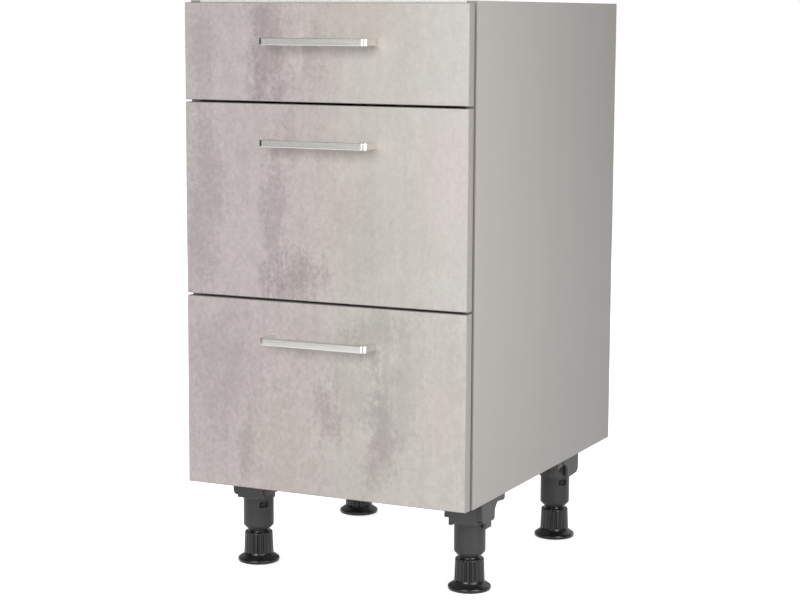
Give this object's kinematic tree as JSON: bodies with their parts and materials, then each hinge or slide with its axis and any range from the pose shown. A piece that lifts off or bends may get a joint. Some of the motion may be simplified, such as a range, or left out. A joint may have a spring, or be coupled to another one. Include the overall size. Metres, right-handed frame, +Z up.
{
  "type": "base cabinet with drawers",
  "caption": "Kitchen base cabinet with a shallow drawer over deep drawers, square bar handles and screw-adjusted legs under an open-topped board carcass.",
  "frame": {"origin": "on the floor, in the middle of the width and of the depth over the handles", "axes": "+X to the right seen from the front, +Y towards the wall, +Z up"},
  "size_m": [0.45, 0.616, 0.849],
  "materials": {
    "back_board": "thin hardboard, white faced inside and bare behind",
    "drawer_steel": "light grey powder coat",
    "foot_plastic": "black, semi-gloss",
    "front_laminate": "concrete-look laminate, matt with a faint texture",
    "handle_steel": "satin",
    "inner_board": "white faced chipboard, satin",
    "runner_steel": "zinc plated",
    "side_board": "light warm grey faced chipboard, satin",
    "sleeve_plastic": "charcoal, satin",
    "socket_plastic": "charcoal, satin"
  },
  "bodies": {
    "carcass": {"back_panel": "back_board", "bottom_panel": "inner_board", "cabinet_rail_bottom_left": "runner_steel", "cabinet_rail_bottom_right": "runner_steel", "cabinet_rail_middle_left": "runner_steel", "cabinet_rail_middle_right": "runner_steel", "cabinet_rail_top_left": "runner_steel", "cabinet_rail_top_right": "runner_steel", "front_top_rail": "inner_board", "leg_sleeves": "sleeve_plastic", "leg_sockets": "socket_plastic", "rear_top_rail": "inner_board", "side_panel_left": "side_board", "side_panel_right": "side_board"},
    "drawer_top": {"drawer_back_top": "inner_board", "drawer_base_top": "inner_board", "drawer_brackets_top": "drawer_steel", "drawer_front_top": "front_laminate", "drawer_rails_top": "runner_steel", "drawer_side_top_left": "drawer_steel", "drawer_side_top_right": "drawer_steel", "handle_top": "handle_steel"},
    "middle_rails_top": {"middle_rail_top_left": "runner_steel", "middle_rail_top_right": "runner_steel"},
    "drawer_middle": {"drawer_back_middle": "inner_board", "drawer_base_middle": "inner_board", "drawer_brackets_middle": "drawer_steel", "drawer_front_middle": "front_laminate", "drawer_rails_middle": "runner_steel", "drawer_side_middle_left": "drawer_steel", "drawer_side_middle_right": "drawer_steel", "gallery_rails_middle": "drawer_steel", "handle_middle": "handle_steel"},
    "middle_rails_middle": {"middle_rail_middle_left": "runner_steel", "middle_rail_middle_right": "runner_steel"},
    "drawer_bottom": {"drawer_back_bottom": "inner_board", "drawer_base_bottom": "inner_board", "drawer_brackets_bottom": "drawer_steel", "drawer_front_bottom": "front_laminate", "drawer_rails_bottom": "runner_steel", "drawer_side_bottom_left": "drawer_steel", "drawer_side_bottom_right": "drawer_steel", "gallery_rails_bottom": "drawer_steel", "handle_bottom": "handle_steel"},
    "middle_rails_bottom": {"middle_rail_bottom_left": "runner_steel", "middle_rail_bottom_right": "runner_steel"},
    "foot_front_left": {"adjusting_foot_front_left": "foot_plastic"},
    "foot_front_right": {"adjusting_foot_front_right": "foot_plastic"},
    "foot_rear_left": {"adjusting_foot_rear_left": "foot_plastic"},
    "foot_rear_right": {"adjusting_foot_rear_right": "foot_plastic"}
  },
  "joints": [
    {"name": "drawer_top_slide", "type": "slide", "parent": "carcass", "child": "drawer_top", "axis": [0, -1, 0], "range_m": [0, 0.48]},
    {"name": "middle_rails_top_slide", "type": "slide", "parent": "carcass", "child": "middle_rails_top", "axis": [0, -1, 0], "range_m": [0, 0.24]},
    {"name": "drawer_middle_slide", "type": "slide", "parent": "carcass", "child": "drawer_middle", "axis": [0, -1, 0], "range_m": [0, 0.48]},
    {"name": "middle_rails_middle_slide", "type": "slide", "parent": "carcass", "child": "middle_rails_middle", "axis": [0, -1, 0], "range_m": [0, 0.24]},
    {"name": "drawer_bottom_slide", "type": "slide", "parent": "carcass", "child": "drawer_bottom", "axis": [0, -1, 0], "range_m": [0, 0.48]},
    {"name": "middle_rails_bottom_slide", "type": "slide", "parent": "carcass", "child": "middle_rails_bottom", "axis": [0, -1, 0], "range_m": [0, 0.24]},
    {"name": "foot_front_left_screw", "type": "slide", "parent": "carcass", "child": "foot_front_left", "axis": [0, 0, -1], "range_m": [-0.0045, 0.022]},
    {"name": "foot_front_right_screw", "type": "slide", "parent": "carcass", "child": "foot_front_right", "axis": [0, 0, -1], "range_m": [-0.0045, 0.022]},
    {"name": "foot_rear_left_screw", "type": "slide", "parent": "carcass", "child": "foot_rear_left", "axis": [0, 0, -1], "range_m": [-0.0045, 0.022]},
    {"name": "foot_rear_right_screw", "type": "slide", "parent": "carcass", "child": "foot_rear_right", "axis": [0, 0, -1], "range_m": [-0.0045, 0.022]}
  ],
  "couplings": [
    {"joint": "middle_rails_top_slide", "follows": "drawer_top_slide", "ratio": 0.5},
    {"joint": "middle_rails_middle_slide", "follows": "drawer_middle_slide", "ratio": 0.5},
    {"joint": "middle_rails_bottom_slide", "follows": "drawer_bottom_slide", "ratio": 0.5}
  ]
}
